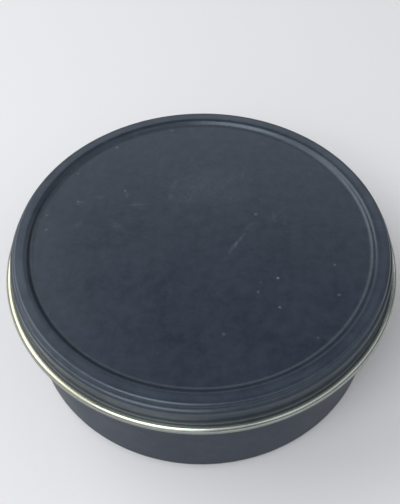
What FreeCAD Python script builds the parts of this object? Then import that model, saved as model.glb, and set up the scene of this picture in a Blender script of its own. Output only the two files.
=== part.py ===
import FreeCAD, Part
import math
import os

# A shut caviar tin in tinplate, in millimetres: a drawn cup with a slip lid pushed over it.
# The origin is the centre of the foot, +Z is up, and everything is turned about the Z axis.
overall_diameter = 85.0       # over the lid's rolled bottom edge
overall_height = 29.8         # from the foot to the lid's rim
lid_depth = 7.45              # from the lid's rim to the underside of its rolled edge
plate = 0.25                  # thickness of the lid's tinplate
lid_clearance = 0.2           # between the inside of the lid and the base, all round

# Top of the lid: a sunk panel inside a flat raised rim.
panel_depth = 1.0
panel_slope = 35.0            # steepness of the ramp from the panel up to the rim, in degrees
panel_bend = 1.0              # bend radius at the foot and at the top of that ramp
rim_flat = 1.55               # width of the flat on top of the rim

# Side of the lid: a short upper wall, a stacking shoulder, the skirt and the rolled edge.
rim_edge_radius = 0.8
upper_wall = 0.3              # straight part of the wall between the rim's edge and the shoulder
shoulder_width = 0.7          # how much wider the skirt is than the upper wall
shoulder_hollow_radius = 0.4
shoulder_radius = 0.8
curl_diameter = 1.9
curl_wrap = 300.0             # how far round the edge is rolled, in degrees

# Base cup: a slightly tapered wall with a rounded bottom corner and a sunk bottom panel.
wall_draft = 3.5              # taper of the wall, in degrees
corner_radius = 2.4
foot_width = 2.6              # the flat ring that the tin stands on
bottom_depth = 0.8
bottom_slope = 35.0
bottom_bend = 1.0

curl_radius = curl_diameter / 2
skirt_outer_radius = overall_diameter / 2 - curl_diameter + plate
upper_wall_radius = skirt_outer_radius - shoulder_width


def trace(start, moves, inset):
    """Follow runs and bends from start, heading outwards, and keep inset to the right of them.

    A move is ("run", length) or ("bend", radius, degrees), where left bends are positive.
    Bends to the left get a larger radius by the inset and bends to the right a smaller one,
    so the same moves give both faces of a bent sheet. Returns the edges in order.
    """
    heading = 0.0
    point = FreeCAD.Vector(start[0], 0, start[1] - inset)
    edges = []
    for move in moves:
        ahead = FreeCAD.Vector(math.cos(heading), 0, math.sin(heading))
        if move[0] == "run":
            end = point + ahead * move[1]
            edges.append(Part.LineSegment(point, end).toShape())
        else:
            turn = math.radians(move[2])
            side = math.copysign(1, turn)
            to_centre = FreeCAD.Vector(-ahead.z, 0, ahead.x) * side * (move[1] + side * inset)
            centre = point + to_centre
            middle = centre - turned(to_centre, turn / 2)
            end = centre - turned(to_centre, turn)
            edges.append(Part.Arc(point, middle, end).toShape())
            heading += turn
        point = end
    return edges


def turned(vector, angle):
    """Turn a vector in the XZ plane anticlockwise, as seen with X to the right and Z up."""
    cosine = math.cos(angle)
    sine = math.sin(angle)
    return FreeCAD.Vector(vector.x * cosine - vector.z * sine, 0, vector.x * sine + vector.z * cosine)


def ramp(height, slope, bend):
    """Moves up a bent ramp of the given height, and the width that it takes."""
    angle = math.radians(slope)
    straight = (height - 2 * bend * (1 - math.cos(angle))) / math.sin(angle)
    width = 2 * bend * math.sin(angle) + straight * math.cos(angle)
    return [("bend", bend, slope), ("run", straight), ("bend", bend, -slope)], width


def mirrored(moves):
    """The same moves with every bend the other way."""
    return [(*move[:2], -move[2]) if move[0] == "bend" else move for move in moves]


def first_point(edges):
    return edges[0].firstVertex(True).Point


def last_point(edges):
    return edges[-1].lastVertex(True).Point


def turned_solid(outline):
    """Close an outline and revolve it about the Z axis."""
    closing = Part.LineSegment(last_point(outline), first_point(outline)).toShape()
    face = Part.Face(Part.Wire(outline + [closing]))
    return face.revolve(FreeCAD.Vector(0, 0, 0), FreeCAD.Vector(0, 0, 1), 360)


def backwards(edges):
    """The same edges from the last end to the first, each drawn the other way."""
    return [edge.reversed() for edge in reversed(edges)]


def lid_moves():
    """The lid's upper face from the middle of the panel to the level of the curl's centre."""
    up, ramp_width = ramp(panel_depth, panel_slope, panel_bend)
    rim_outer = upper_wall_radius - rim_edge_radius
    panel_radius = rim_outer - rim_flat - ramp_width
    shoulder_radii = shoulder_hollow_radius + shoulder_radius
    shoulder_angle = math.degrees(math.acos(1 - shoulder_width / shoulder_radii))
    shoulder_height = shoulder_radii * math.sin(math.radians(shoulder_angle))
    skirt = lid_depth - rim_edge_radius - upper_wall - shoulder_height - curl_radius
    rim = [("run", rim_flat), ("bend", rim_edge_radius, -90), ("run", upper_wall)]
    shoulder = [("bend", shoulder_hollow_radius, shoulder_angle), ("bend", shoulder_radius, -shoulder_angle)]
    return [("run", panel_radius)] + up + rim + shoulder + [("run", skirt)]


def lid():
    """One drawn sheet, whose skirt is rolled outwards at the bottom into a tube."""
    curl = ("bend", curl_radius - plate, curl_wrap)
    start = (0, overall_height - panel_depth)
    upper = trace(start, lid_moves() + [curl], 0)
    under = trace(start, lid_moves() + [curl], plate)
    cut_edge = Part.LineSegment(last_point(upper), last_point(under)).toShape()
    return turned_solid(upper + [cut_edge] + backwards(under))


def base():
    """The filled cup: its outside below the lid, and one clearance inside the lid above that."""
    draft = math.radians(wall_draft)
    mouth_radius = skirt_outer_radius - plate - lid_clearance
    mouth_height = overall_height - lid_depth
    wall_at_corner = mouth_radius - (mouth_height - corner_radius) * math.tan(draft)
    foot_outer = wall_at_corner - corner_radius / math.cos(draft)
    corner_top = corner_radius * (1 - math.sin(draft))
    wall = (mouth_height - corner_top) / math.cos(draft)
    up, ramp_width = ramp(bottom_depth, bottom_slope, bottom_bend)
    bottom_radius = foot_outer - foot_width - ramp_width
    foot = [("run", foot_width), ("bend", corner_radius, 90 - wall_draft), ("run", wall)]
    outside = trace((0, bottom_depth), [("run", bottom_radius)] + mirrored(up) + foot, 0)
    inside_lid = trace((0, overall_height - panel_depth), lid_moves(), plate + lid_clearance)
    neck = Part.LineSegment(last_point(outside), last_point(inside_lid)).toShape()
    return turned_solid(outside + [neck] + backwards(inside_lid))


os.makedirs("parts", exist_ok=True)
base().exportStep("parts/base.step")
lid().exportStep("parts/lid.step")
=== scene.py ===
import math

import bmesh
import bpy
from mathutils import Matrix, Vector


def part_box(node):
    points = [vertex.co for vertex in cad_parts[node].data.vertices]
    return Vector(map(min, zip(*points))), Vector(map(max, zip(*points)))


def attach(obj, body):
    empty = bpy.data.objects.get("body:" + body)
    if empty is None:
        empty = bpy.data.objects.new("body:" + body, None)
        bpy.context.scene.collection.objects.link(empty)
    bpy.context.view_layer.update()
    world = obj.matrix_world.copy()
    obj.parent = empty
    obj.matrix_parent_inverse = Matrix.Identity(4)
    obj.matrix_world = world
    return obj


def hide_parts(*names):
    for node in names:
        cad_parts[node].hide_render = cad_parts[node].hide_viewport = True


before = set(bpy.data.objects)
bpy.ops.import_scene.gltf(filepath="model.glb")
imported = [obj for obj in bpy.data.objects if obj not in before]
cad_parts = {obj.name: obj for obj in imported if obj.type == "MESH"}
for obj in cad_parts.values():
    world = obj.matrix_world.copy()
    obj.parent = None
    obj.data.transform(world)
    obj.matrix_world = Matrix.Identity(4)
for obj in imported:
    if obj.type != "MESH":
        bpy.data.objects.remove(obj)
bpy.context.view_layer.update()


# ---- Base cup -------------------------------------------------------------------------------
# A shallow cup drawn from one disc of tinplate that was lacquered blue-black before drawing.
# Its wall leans in a little to a rounded corner, and it stands on a narrow ring around a sunk
# bottom. It is filled, and the lid is pushed over its straight mouth.

MM = 0.001
lid_low, lid_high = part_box("lid")

PLATE = 0.25 * MM                # tinplate of the lid
CURL = 1.9 * MM                  # thickness of the lid's rolled edge
FIT_GAP = 0.2 * MM               # between the lid and the cup
SKIRT_RADIUS = lid_high.x - CURL + PLATE
MOUTH_RADIUS = SKIRT_RADIUS - PLATE - FIT_GAP
MOUTH_HEIGHT = lid_low.z
CUP_LEAN = 3.5                   # degrees
CORNER = 2.4 * MM
FOOT_RING = 2.6 * MM
BOTTOM_SINK = 0.8 * MM
BOTTOM_SLOPE = 35                # degrees, of the ramp round the sunk bottom
BOTTOM_BEND = 1.0 * MM
RUN_STEP = 3.0 * MM              # between points on a straight run


def follow(start, moves, inset=0.0, bend_step=6.0):
    """Points (radius, height) along runs and bends that start outwards, inset to their right."""
    heading = 0.0
    radius, height = start[0], start[1] - inset
    points = [(radius, height)]
    for kind, *sizes in moves:
        if kind == "run":
            steps = max(1, round(sizes[0] / RUN_STEP))
            for step in range(1, steps + 1):
                far = sizes[0] * step / steps
                points.append((radius + far * math.cos(heading), height + far * math.sin(heading)))
        else:
            side = math.copysign(1, sizes[1])
            reach = side * sizes[0] + inset
            angle = math.radians(sizes[1])
            centre = (radius - reach * math.sin(heading), height + reach * math.cos(heading))
            steps = max(2, round(abs(sizes[1]) / bend_step))
            for step in range(1, steps + 1):
                now = heading + angle * step / steps
                out, down = reach * math.sin(now), reach * math.cos(now)
                points.append((centre[0] + out, centre[1] - down))
            heading += angle
        radius, height = points[-1]
    return points


def ramp(height, degrees, bend):
    """Moves up a bent ramp of that height, slope and bend radius, and its width."""
    slope = math.radians(degrees)
    straight = (height - 2 * bend * (1 - math.cos(slope))) / math.sin(slope)
    width = 2 * bend * math.sin(slope) + straight * math.cos(slope)
    return [("bend", bend, degrees), ("run", straight), ("bend", bend, -degrees)], width


lean = math.radians(CUP_LEAN)
wall = (MOUTH_HEIGHT - CORNER * (1 - math.sin(lean))) / math.cos(lean)
up, _ = ramp(BOTTOM_SINK, BOTTOM_SLOPE, BOTTOM_BEND)
down = [(kind, *sizes[:-1], -sizes[-1] if kind == "bend" else sizes[-1]) for kind, *sizes in up]
outer = down + [("run", FOOT_RING), ("bend", CORNER, 90 - CUP_LEAN), ("run", wall)]
outer_reach = follow((0, 0), outer)[-1][0]
cup_outside = follow((0, BOTTOM_SINK), [("run", MOUTH_RADIUS - outer_reach)] + outer)

# The filled cup comes up under the lid, so the lid's sizes are needed here already.
PANEL_SINK = 1.0 * MM
PANEL_SLOPE = 48                 # degrees: the ramp from the panel to the rim is nearly one long S
PANEL_BEND = 1.3 * MM
RIM_FLAT = 1.55 * MM
RIM_EDGE = 0.8 * MM
UPPER_WALL = 0.3 * MM
SHOULDER = 0.7 * MM              # the skirt is that much wider than the wall above it
HOLLOW = 0.4 * MM                # bend radius above the shoulder
ROUND = 0.8 * MM                 # bend radius of the shoulder itself

shoulder_turn = math.degrees(math.acos(1 - SHOULDER / (HOLLOW + ROUND)))
shoulder_height = (HOLLOW + ROUND) * math.sin(math.radians(shoulder_turn))
panel_ramp, panel_ramp_width = ramp(PANEL_SINK, PANEL_SLOPE, PANEL_BEND)
rim_outer = SKIRT_RADIUS - SHOULDER - RIM_EDGE
curl_level = lid_low.z + CURL / 2
skirt = lid_high.z - curl_level - RIM_EDGE - UPPER_WALL - shoulder_height
lid_moves = (
    [("run", rim_outer - RIM_FLAT - panel_ramp_width)] + panel_ramp
    + [("run", RIM_FLAT), ("bend", RIM_EDGE, -90), ("run", UPPER_WALL)]
    + [("bend", HOLLOW, shoulder_turn), ("bend", ROUND, -shoulder_turn), ("run", skirt)]
)
panel_middle = (0, lid_high.z - PANEL_SINK)
cup_top = follow(panel_middle, lid_moves, PLATE + FIT_GAP, bend_step=15)
cup_section = cup_outside + cup_top[::-1]


def pick(sockets, key=None):
    """A node's live socket with that name, or its first one."""
    return next(s for s in sockets if s.enabled and key in (None, s.name))


def add(tree, kind, inputs=None, **settings):
    """Add a node with its settings. An input is a value, or a node or (node, output) to link."""
    node = tree.nodes.new(kind)
    for name, value in settings.items():
        setattr(node, name, value)
    for key, value in (inputs or {}).items():
        socket = node.inputs[key] if isinstance(key, int) else pick(node.inputs, key)
        if isinstance(value, bpy.types.Node):
            tree.links.new(pick(value.outputs), socket)
        elif isinstance(value, tuple) and isinstance(value[0], bpy.types.Node):
            tree.links.new(pick(value[0].outputs, value[1]), socket)
        else:
            socket.default_value = value
    return node


def lathe_tree():
    """Geometry Nodes that turn a section, drawn as a line of points, about the Z axis."""
    tree = bpy.data.node_groups.new("turned_section", "GeometryNodeTree")
    for name, direction, kind in (
        ("Section", "INPUT", "Geometry"), ("Steps Round", "INPUT", "Int"),
        ("Crease Angle", "INPUT", "Float"), ("Finish", "INPUT", "Material"),
        ("Turned", "OUTPUT", "Geometry"),
    ):
        tree.interface.new_socket(name, in_out=direction, socket_type="NodeSocket" + kind)
    given = add(tree, "NodeGroupInput")
    section, steps = (given, "Section"), (given, "Steps Round")
    count = (add(tree, "GeometryNodeAttributeDomainSize", {"Geometry": section}), "Point Count")
    columns = add(tree, "ShaderNodeMath", {0: steps, 1: 1.0}, operation="ADD")
    sheet = add(tree, "GeometryNodeMeshGrid",
                {"Size X": 1.0, "Size Y": 1.0, "Vertices X": columns, "Vertices Y": count})
    place = add(tree, "ShaderNodeSeparateXYZ", {0: add(tree, "GeometryNodeInputPosition")})
    angle = add(tree, "ShaderNodeMath", {0: (place, "X"), 1: 0.5}, operation="ADD")
    angle = add(tree, "ShaderNodeMath", {0: angle, 1: math.tau}, operation="MULTIPLY")
    along = add(tree, "ShaderNodeMath", {0: (place, "Y"), 1: 0.5}, operation="ADD")
    last = add(tree, "ShaderNodeMath", {0: count, 1: 1.0}, operation="SUBTRACT")
    along = add(tree, "ShaderNodeMath", {0: along, 1: last}, operation="MULTIPLY")
    index = add(tree, "ShaderNodeMath", {0: along}, operation="ROUND")
    point = add(tree, "GeometryNodeSampleIndex",
                {"Geometry": section, "Index": index,
                 "Value": add(tree, "GeometryNodeInputPosition")},
                data_type="FLOAT_VECTOR", domain="POINT")
    spun = add(tree, "ShaderNodeVectorRotate", {"Vector": point, "Angle": angle},
               rotation_type="Z_AXIS")
    shape = add(tree, "GeometryNodeSetPosition", {"Geometry": (sheet, "Mesh"), "Position": spun})
    shape = add(tree, "GeometryNodeMergeByDistance", {"Geometry": shape, "Distance": WELD})
    bend = (add(tree, "GeometryNodeInputMeshEdgeAngle"), "Unsigned Angle")
    creased = add(tree, "FunctionNodeCompare", {"A": bend, "B": (given, "Crease Angle")},
                  data_type="FLOAT", operation="GREATER_THAN")
    shape = add(tree, "GeometryNodeSetShadeSmooth",
                {"Geometry": shape, "Selection": creased, "Shade Smooth": False}, domain="EDGE")
    shape = add(tree, "GeometryNodeRealizeInstances", {"Geometry": shape})
    shape = add(tree, "GeometryNodeSetMaterial", {"Geometry": shape, "Material": (given, "Finish")})
    add(tree, "NodeGroupOutput", {0: shape})
    return tree


STEPS_ROUND = 384
CREASE = 40                      # degrees: sharper edges than this are shaded crisp
WELD = 0.002 * MM                # points closer than this become one
turned_section = lathe_tree()


def turn(name, section, finish):
    """Turn a section into a closed piece that rides on the tin."""
    line = bpy.data.meshes.new(name + "_section")
    line.from_pydata([(radius, 0, height) for radius, height in section],
                     [(i, i + 1) for i in range(len(section) - 1)], [])
    piece = bpy.data.objects.new(name, line)
    bpy.context.scene.collection.objects.link(piece)
    lathe = piece.modifiers.new("lathe", "NODES")
    lathe.node_group = turned_section
    values = {"Steps Round": STEPS_ROUND, "Crease Angle": math.radians(CREASE), "Finish": finish}
    for item in turned_section.interface.items_tree:
        if item.name in values:
            lathe[item.identifier] = values[item.name]
    evaluated = piece.evaluated_get(bpy.context.evaluated_depsgraph_get())
    solid = bpy.data.meshes.new_from_object(evaluated)
    piece.modifiers.remove(lathe)
    piece.data = solid
    solid.materials.clear()
    solid.materials.append(finish)
    shell = bmesh.new()
    shell.from_mesh(solid)
    bmesh.ops.recalc_face_normals(shell, faces=shell.faces)
    shell.to_mesh(solid)
    shell.free()
    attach(piece, "root")
    return piece


def srgb(code):
    """A colour written as sRGB hex, as linear RGBA."""
    parts = [int(code[i:i + 2], 16) / 255 for i in (1, 3, 5)]
    return [c / 12.92 if c <= 0.04045 else ((c + 0.055) / 1.055) ** 2.4 for c in parts] + [1.0]


def new_material(name):
    """An empty material, with its tree."""
    material = bpy.data.materials.new(name)
    material.use_nodes = True
    material.node_tree.nodes.clear()
    return material, material.node_tree


# Baked can lacquer, roller-coated on the plate before it is drawn: satin and blue-black, with a
# faint orange peel over the steel's rolling grain, and the rubbing and dust of a handled tin.
black_lacquer, tree = new_material("baked_black_can_lacquer")
here = (add(tree, "ShaderNodeTexCoord"), "Object")
# Sizes of the film's patterns. Rolling grain is really some hundredths of a millimetre wide, and
# it is drawn coarser so that it shows.
CLOUD = 9.0 * MM
MOTTLE = 2.4 * MM
PEEL = 0.8 * MM
FLECK = 0.6 * MM
GRAIN = 0.4 * MM
clouds = add(tree, "ShaderNodeTexNoise", {"Vector": here, "Scale": 1 / CLOUD, "Detail": 4.0})
flecks = add(tree, "ShaderNodeTexNoise", {"Vector": here, "Scale": 1 / FLECK, "Detail": 3.0})
peel = add(tree, "ShaderNodeTexNoise", {"Vector": here, "Scale": 1 / PEEL, "Detail": 2.0})
mottle = add(tree, "ShaderNodeTexNoise",
             {"Vector": here, "Scale": 1 / MOTTLE, "Detail": 5.0, "Roughness": 0.7})
stretched = add(tree, "ShaderNodeMapping", {"Vector": here, "Scale": (1.0, 0.05, 1.0)})
grain = add(tree, "ShaderNodeTexNoise", {"Vector": stretched, "Scale": 1 / GRAIN, "Detail": 3.0})

# Marks on the lid's panel, in millimetres from its middle: place, half length, half width, turn
# in degrees and strength. The first is the long scratch, and the wide ones are rubbed clouds.
RUBS = (
    (7.6, -1.4, 3.6, 0.48, 56, 1.00), (10.6, 3.4, 1.9, 0.45, 50, 0.35),
    (4.9, -5.6, 1.2, 0.40, 30, 0.30), (-14.6, 10.3, 1.8, 0.50, -4, 0.55),
    (-16.6, 13.4, 0.9, 0.45, 100, 0.40), (-22.4, 12.9, 1.4, 0.55, 5, 0.55),
    (-27.0, 11.2, 1.2, 0.70, 20, 0.45), (-26.6, 4.6, 1.5, 0.80, 60, 0.30),
    (-18.4, 4.3, 1.8, 1.20, -10, 0.35), (-5.9, 16.2, 2.2, 0.90, 70, 0.40),
    (-6.7, 12.6, 1.4, 0.80, 98, 0.40), (-2.8, 12.2, 3.6, 2.60, 10, 0.28),
    (7.2, 12.9, 4.2, 3.20, 10, 0.26), (7.0, 18.2, 3.6, 0.70, 66, 0.30),
    (9.9, 19.2, 3.0, 0.60, 74, 0.30), (16.2, 6.0, 1.9, 0.60, 96, 0.40),
    (1.5, 16.0, 9.0, 6.00, 0, 0.28), (-9.0, 22.5, 4.5, 0.60, 84, 0.20),
)
# Specks in the film, likewise: place, radius and strength.
SPECKS = (
    (15.7, -10.9, 0.42, 0.90), (15.5, -18.2, 0.40, 0.60), (11.4, -14.3, 0.45, 0.35),
    (12.1, -11.8, 0.35, 0.25), (27.8, -7.7, 0.35, 0.45), (27.7, -15.4, 0.50, 0.35),
    (4.1, -24.3, 0.50, 0.30), (22.3, -25.5, 0.40, 0.25), (12.2, 6.8, 0.50, 0.45),
    (-19.6, 29.0, 0.50, 0.45), (-6.6, 34.7, 0.45, 0.35), (-28.2, 20.4, 0.45, 0.30),
    (-34.0, 7.6, 0.45, 0.35), (-33.6, 3.4, 0.50, 0.30), (-17.0, 14.6, 0.40, 0.50),
    (-27.4, 11.6, 0.40, 0.40),
)
rubbed = specks = 0.0
for x, y, half_length, half_width, degrees, strength in RUBS:
    place = (x * MM, y * MM, panel_middle[1])
    local = add(tree, "ShaderNodeMapping", {
        "Vector": here, "Location": place, "Rotation": (0, 0, math.radians(degrees)),
        "Scale": (half_length * MM, half_width * MM, 0.5 * MM)}, vector_type="TEXTURE")
    away = (add(tree, "ShaderNodeVectorMath", {0: local}, operation="LENGTH"), "Value")
    mark = add(tree, "ShaderNodeMapRange",
               {"Value": away, "From Min": 1.3, "From Max": 0.1, "To Max": strength},
               interpolation_type="SMOOTHSTEP")
    rubbed = add(tree, "ShaderNodeMath", {0: rubbed, 1: mark}, operation="MAXIMUM")
for x, y, size, strength in SPECKS:
    spot = (x * MM, y * MM, panel_middle[1])
    away = (add(tree, "ShaderNodeVectorMath", {0: here, 1: spot}, operation="DISTANCE"), "Value")
    mark = add(tree, "ShaderNodeMapRange", {
        "Value": away, "From Min": size * MM, "From Max": 0.2 * size * MM,
        "To Max": strength}, interpolation_type="SMOOTHSTEP")
    specks = add(tree, "ShaderNodeMath", {0: specks, 1: mark}, operation="MAXIMUM")
# A rub is broken up into flecks, because only the high spots of the film are touched.
broken = add(tree, "ShaderNodeMapRange",
             {"Value": flecks, "From Min": 0.35, "From Max": 0.6, "To Min": 0.1})
rubbed = add(tree, "ShaderNodeMath", {0: rubbed, 1: broken}, operation="MULTIPLY")

# Bends that hands and shelves rub, and hollows that hold dust: radius and height of the middle of
# each in millimetres, its reach and its strength.
WORN = (
    (38.7, 29.8, 1.30, 0.50), (39.9, 29.6, 0.40, 0.60), (40.75, 28.2, 0.35, 0.45),
    (36.9, 0.2, 1.20, 0.60), (34.9, 0.0, 1.40, 0.90),
)
# The first hollow, over the roll, holds dust and a painted reflection of the roll's highlight.
DUST_AND_GLEAM = ((41.00, 24.40, 0.70, 0.60), (36.2, 28.9, 0.60, 0.16), (40.2, 28.5, 0.30, 0.20))
split = add(tree, "ShaderNodeSeparateXYZ", {0: here})
flat_way = add(tree, "ShaderNodeCombineXYZ", {"X": (split, "X"), "Y": (split, "Y")})
out = (add(tree, "ShaderNodeVectorMath", {0: flat_way}, operation="LENGTH"), "Value")
section_place = add(tree, "ShaderNodeCombineXYZ", {"X": out, "Y": (split, "Z")})
rings = []
for places in (WORN, DUST_AND_GLEAM):
    ring = 0.0
    for radius, height, reach, strength in places:
        middle = (radius * MM, height * MM, 0.0)
        away = (add(tree, "ShaderNodeVectorMath",
                    {0: section_place, 1: middle}, operation="DISTANCE"), "Value")
        mark = add(tree, "ShaderNodeMapRange",
                   {"Value": away, "From Min": reach * MM, "From Max": 0.0, "To Max": strength},
                   interpolation_type="SMOOTHSTEP")
        ring = add(tree, "ShaderNodeMath", {0: ring, 1: mark}, operation="MAXIMUM")
    rings.append(ring)
uneven = add(tree, "ShaderNodeMapRange",
             {"Value": clouds, "From Min": 0.35, "From Max": 0.65, "To Min": 0.3})
worn = add(tree, "ShaderNodeMath", {0: rings[0], 1: uneven}, operation="MULTIPLY")
settled = add(tree, "ShaderNodeMapRange",
              {"Value": flecks, "From Min": 0.3, "From Max": 0.7, "To Min": 0.75})
dust_and_gleam = add(tree, "ShaderNodeMath", {0: rings[1], 1: settled}, operation="MULTIPLY")

# Loose dust: a pale grain 0.3 mm across in about one cell in ten of a 1.7 mm spacing.
cells = add(tree, "ShaderNodeTexVoronoi", {"Vector": here, "Scale": 1 / (1.7 * MM)})
lot = add(tree, "ShaderNodeSeparateColor", {0: (cells, "Color")})
chosen = add(tree, "ShaderNodeMapRange",
             {"Value": (lot, "Red"), "From Min": 0.84, "From Max": 0.96})
grit = add(tree, "ShaderNodeMapRange",
           {"Value": (cells, "Distance"), "From Min": 0.14, "From Max": 0.04})
grit = add(tree, "ShaderNodeMath", {0: grit, 1: chosen}, operation="MULTIPLY")

# Colour: the film is a little deeper and bluer in places and finely mottled where it has hazed,
# rubs are paler blue, and dust is grey, as is a painted gleam above the roll.
film = add(tree, "ShaderNodeMix",
           {"Factor": uneven, "A": srgb("#151d2a"), "B": srgb("#1d2531")}, data_type="RGBA")
streak = add(tree, "ShaderNodeMapRange",
             {"Value": grain, "From Min": 0.3, "From Max": 0.7, "To Max": 0.20})
film = add(tree, "ShaderNodeMix",
           {"Factor": streak, "A": film, "B": srgb("#28303c")}, data_type="RGBA")
hazy = add(tree, "ShaderNodeMapRange",
           {"Value": mottle, "From Min": 0.38, "From Max": 0.68, "To Max": 0.85})
film = add(tree, "ShaderNodeMix",
           {"Factor": hazy, "A": film, "B": srgb("#29313f")}, data_type="RGBA")
pale = add(tree, "ShaderNodeMath", {0: rubbed, 1: 0.15}, operation="MULTIPLY")
pale = add(tree, "ShaderNodeMath", {0: worn, 1: 0.10, 2: pale}, operation="MULTIPLY_ADD")
colour = add(tree, "ShaderNodeMix",
             {"Factor": pale, "A": film, "B": srgb("#9ba8bb")}, data_type="RGBA")
grey = add(tree, "ShaderNodeMath", {0: specks, 1: 0.30}, operation="MULTIPLY")
grey = add(tree, "ShaderNodeMath", {0: dust_and_gleam, 1: 0.30, 2: grey}, operation="MULTIPLY_ADD")
grey = add(tree, "ShaderNodeMath", {0: grit, 1: 0.06, 2: grey}, operation="MULTIPLY_ADD")
colour = add(tree, "ShaderNodeMix",
             {"Factor": grey, "A": colour, "B": srgb("#b4b8b2")}, data_type="RGBA")
rough = add(tree, "ShaderNodeMapRange",
            {"Value": clouds, "From Min": 0.3, "From Max": 0.7, "To Min": 0.29, "To Max": 0.34},
            name="satin_spread")
rough = add(tree, "ShaderNodeMath", {0: rubbed, 1: 0.08, 2: rough}, operation="MULTIPLY_ADD")
rough = add(tree, "ShaderNodeMath", {0: dust_and_gleam, 1: 0.10, 2: rough}, operation="MULTIPLY_ADD")
rough = add(tree, "ShaderNodeMath", {0: worn, 1: -0.06, 2: rough}, operation="MULTIPLY_ADD")
relief = add(tree, "ShaderNodeMath", {0: grain, 1: 0.15, 2: peel}, operation="MULTIPLY_ADD")
relief = add(tree, "ShaderNodeMath", {0: rubbed, 1: -0.4, 2: relief}, operation="MULTIPLY_ADD")
relief = add(tree, "ShaderNodeMath", {0: specks, 1: 2.0, 2: relief}, operation="MULTIPLY_ADD")
bump = add(tree, "ShaderNodeBump", {"Height": relief, "Strength": 0.5, "Distance": 0.035 * MM})
shader = add(tree, "ShaderNodeBsdfPrincipled", {
    "Base Color": colour, "Roughness": rough, "IOR": 1.56, "Specular Tint": srgb("#e5f5ff"),
    "Normal": bump}, name="film_gloss")
add(tree, "ShaderNodeOutputMaterial", {"Surface": shader})

# The cup's wall is drawn further than the lid, which leaves the film thinner and rougher, and its
# reflection is dimmed as painted shade.
rough_shaded_lacquer = black_lacquer.copy()
rough_shaded_lacquer.name = "rough_shaded_black_can_lacquer"
rough_shaded_nodes = rough_shaded_lacquer.node_tree.nodes
rough_shaded_nodes["satin_spread"].inputs["To Min"].default_value = 0.42
rough_shaded_nodes["satin_spread"].inputs["To Max"].default_value = 0.48
# Painted shade: a low IOR dims the wall's reflection.
rough_shaded_nodes["film_gloss"].inputs["IOR"].default_value = 1.38
rough_shaded_nodes["film_gloss"].inputs["Specular Tint"].default_value = srgb("#c8e0ff")

base_cup = turn("base_cup", cup_section, rough_shaded_lacquer)
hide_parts("base")


# ---- Lid ------------------------------------------------------------------------------------
# One sheet of the same lacquered tinplate, drawn with the lacquer outside: a sunk panel inside
# a flat rim, a stacking shoulder and a plain skirt that slips over the cup.

GROOVE = 0.20 * MM               # the lacquer runs out over the roll in a small hollow
ROLL = CURL / 2
beside = CURL / 2 - PLATE        # from the skirt's outer face to the middle of the roll
groove_rise = math.sqrt((ROLL + GROOVE) ** 2 - (beside - GROOVE) ** 2)
groove_turn = math.degrees(math.acos((GROOVE - beside) / (ROLL + GROOVE)))
to_groove = [("run", skirt - groove_rise), ("bend", GROOVE, groove_turn)]
lid_outside = follow(panel_middle, lid_moves[:-1] + to_groove)
# The shell is closed inside the roll, where it doesn't show.
skirt_foot = [(SKIRT_RADIUS + 0.15 * MM, curl_level + 0.6 * MM), (SKIRT_RADIUS, curl_level)]
lid_inside = follow(panel_middle, lid_moves, PLATE)
lid_section = lid_outside + skirt_foot + lid_inside[::-1]
lid_shell = turn("lid_shell", lid_section, black_lacquer)
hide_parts("lid")


# ---- Rolled edge of the lid -----------------------------------------------------------------
# The bottom of the skirt is rolled outwards into a tube, so that no raw edge shows. The roll
# turns the sheet's inner side out, and that side is bare tinplate with a thin clear passivation.

CURL_TURN = 300                  # degrees
CURL_STEP = 7.5                  # degrees between points
roll = [("bend", CURL / 2 - PLATE, CURL_TURN)]
curl_inner = follow(panel_middle, lid_moves + roll, 0.0, CURL_STEP)
curl_outer = follow(panel_middle, lid_moves + roll, PLATE, CURL_STEP)
steps_in_roll = round(CURL_TURN / CURL_STEP)
curl_section = curl_inner[-steps_in_roll - 1:] + curl_outer[:-steps_in_roll - 2:-1]
curl_section.append(curl_section[0])

# Bright tinplate, electrolytic and flow-melted: a clean soft mirror with fine lines along the roll
# from its forming. A warm tint is painted on its left side, where the window lamp falls, and its
# underside is rougher and painted darker in patches, as painted shade.
bare_tinplate, tree = new_material("bare_bright_tinplate")
here = (add(tree, "ShaderNodeTexCoord"), "Object")
# Sizes of the metal's patterns. The forming lines are really finer, and they are drawn as coarse
# as they need to show.
STAIN = 5.0 * MM
SPOT = 0.7 * MM
FORMING_LINE = 0.12 * MM
stain = add(tree, "ShaderNodeTexNoise", {"Vector": here, "Scale": 1 / STAIN, "Detail": 4.0})
spots = add(tree, "ShaderNodeTexNoise", {"Vector": here, "Scale": 1 / SPOT, "Detail": 3.0})
split = add(tree, "ShaderNodeSeparateXYZ", {0: here})
flat_way = add(tree, "ShaderNodeCombineXYZ", {"X": (split, "X"), "Y": (split, "Y")})
out = (add(tree, "ShaderNodeVectorMath", {0: flat_way}, operation="LENGTH"), "Value")
across = add(tree, "ShaderNodeCombineXYZ", {"X": out, "Y": (split, "Z")})
lines = add(tree, "ShaderNodeTexNoise",
            {"Vector": across, "Scale": 1 / FORMING_LINE, "Detail": 2.0})
# Painted shade: the lower part of the roll is mixed towards dull grey, in patches.
under = add(tree, "ShaderNodeMapRange",
            {"Value": (split, "Z"), "From Min": curl_level + 0.55 * MM,
             "From Max": curl_level + 0.05 * MM}, interpolation_type="SMOOTHSTEP")
patchy = add(tree, "ShaderNodeMapRange",
             {"Value": spots, "From Min": 0.3, "From Max": 0.7, "To Min": 0.75})
painted_underside_shade = add(tree, "ShaderNodeMath", {0: under, 1: patchy}, operation="MULTIPLY")
spread = add(tree, "ShaderNodeMapRange", {"Value": stain, "From Min": 0.3, "From Max": 0.7})
metal = add(tree, "ShaderNodeMix",
            {"Factor": spread, "A": srgb("#abb2ad"), "B": srgb("#b6bdb7")}, data_type="RGBA")
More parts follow.
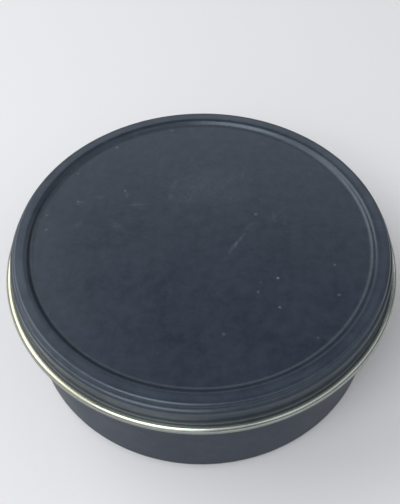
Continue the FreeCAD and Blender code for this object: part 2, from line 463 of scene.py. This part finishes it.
# Painted warm light: the metal turns straw towards the left, the side the window lamp lights.
painted_warm_left = add(tree, "ShaderNodeMapRange",
               {"Value": (split, "X"), "From Min": 5 * MM, "From Max": -36 * MM},
               interpolation_type="SMOOTHSTEP")
metal = add(tree, "ShaderNodeMix",
            {"Factor": painted_warm_left, "A": metal, "B": srgb("#b1b2a0")}, data_type="RGBA")
metal = add(tree, "ShaderNodeMix",
            {"Factor": painted_underside_shade, "A": metal, "B": srgb("#7c827c")}, data_type="RGBA")
rough = add(tree, "ShaderNodeMapRange",
            {"Value": stain, "From Min": 0.3, "From Max": 0.7, "To Min": 0.19, "To Max": 0.26})
rough = add(tree, "ShaderNodeMath", {0: painted_underside_shade, 1: 0.14, 2: rough}, operation="MULTIPLY_ADD")
bump = add(tree, "ShaderNodeBump", {"Height": lines, "Strength": 0.3, "Distance": 0.004 * MM})
shader = add(tree, "ShaderNodeBsdfPrincipled",
             {"Base Color": metal, "Roughness": rough, "Metallic": 1.0, "Normal": bump})
add(tree, "ShaderNodeOutputMaterial", {"Surface": shader})

lid_curl = turn("lid_curl", curl_section, bare_tinplate)
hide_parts("lid")


# ---- Floor, light and camera ----------------------------------------------------------------
# A plain pale sheet of card that the tin stands on. A window-like lamp on the left and a smaller
# lamp high in front give the main light, with soft panels in front, behind and on the right.

FLOOR = 3                        # metres from the middle to each side
floor_mesh = bpy.data.meshes.new("floor")
corners = [(-FLOOR, -FLOOR, 0), (FLOOR, -FLOOR, 0), (FLOOR, FLOOR, 0), (-FLOOR, FLOOR, 0)]
floor_mesh.from_pydata(corners, [], [(0, 1, 2, 3)])
floor = bpy.data.objects.new("floor", floor_mesh)
bpy.context.scene.collection.objects.link(floor)
card, tree = new_material("pale_card")
shader = add(tree, "ShaderNodeBsdfPrincipled",
             {"Base Color": srgb("#dddee1"), "Roughness": 0.9, "Specular IOR Level": 0.0})
add(tree, "ShaderNodeOutputMaterial", {"Surface": shader})
floor_mesh.materials.append(card)

world = bpy.data.worlds.new("surround")
bpy.context.scene.world = world
world.use_nodes = True
background = world.node_tree.nodes["Background"]
background.inputs["Color"].default_value = (1.0, 1.0, 1.0, 1.0)
background.inputs["Strength"].default_value = 0.2

# Each lamp: its direction from the front turning to the left and its height above the horizon in
# degrees, its distance, width and height in metres, and its brightness.
LAMPS = {
    "window_lamp": (112, 42, 0.8, 0.78, 0.55, 2.7),
    "high_front_lamp": (32, 54, 0.8, 0.46, 0.40, 4.1),
    "high_front_panel": (10, 52, 1.0, 1.60, 0.50, 0.5),
    "low_front_panel": (48, 33, 0.9, 1.70, 0.50, 1.0),
    "back_panel": (186, 41, 1.0, 1.80, 0.16, 1.6),
    "right_panel": (290, 44, 1.0, 1.20, 0.60, 0.62),
}
for name, (azimuth, elevation, distance, width, height, radiance) in LAMPS.items():
    lamp = bpy.data.lights.new(name, "AREA")
    lamp.shape = "RECTANGLE"
    lamp.size, lamp.size_y = width, height
    lamp.energy = radiance * math.pi * width * height
    lamp_object = bpy.data.objects.new(name, lamp)
    turn_z = Matrix.Rotation(math.radians(-azimuth), 4, "Z")
    tilt_x = Matrix.Rotation(math.radians(90 - elevation), 4, "X")
    lamp_object.matrix_world = turn_z @ tilt_x @ Matrix.Translation((0, 0, distance))
    lamp_object.visible_camera = False
    bpy.context.scene.collection.objects.link(lamp_object)

# The camera is held close over the tin, looking down at it. Angles are in degrees.
EYE = (0.0, -0.10368, 0.15219)   # metres
FOCAL = 53.57
HEADING = 0.134
DIP = 50.957
ROLL_OVER = -1.117
camera_data = bpy.data.cameras.new("camera")
camera_data.sensor_width = 36.0
camera_data.lens = FOCAL
camera_data.clip_start = 0.005
camera = bpy.data.objects.new("camera", camera_data)
heading = Matrix.Rotation(math.radians(HEADING), 4, "Z")
dip = Matrix.Rotation(math.radians(90 - DIP), 4, "X")
roll_over = Matrix.Rotation(math.radians(ROLL_OVER), 4, "Z")
camera.matrix_world = Matrix.Translation(EYE) @ heading @ dip @ roll_over
bpy.context.scene.collection.objects.link(camera)
bpy.context.scene.camera = camera

bpy.context.scene.view_settings.view_transform = "Standard"
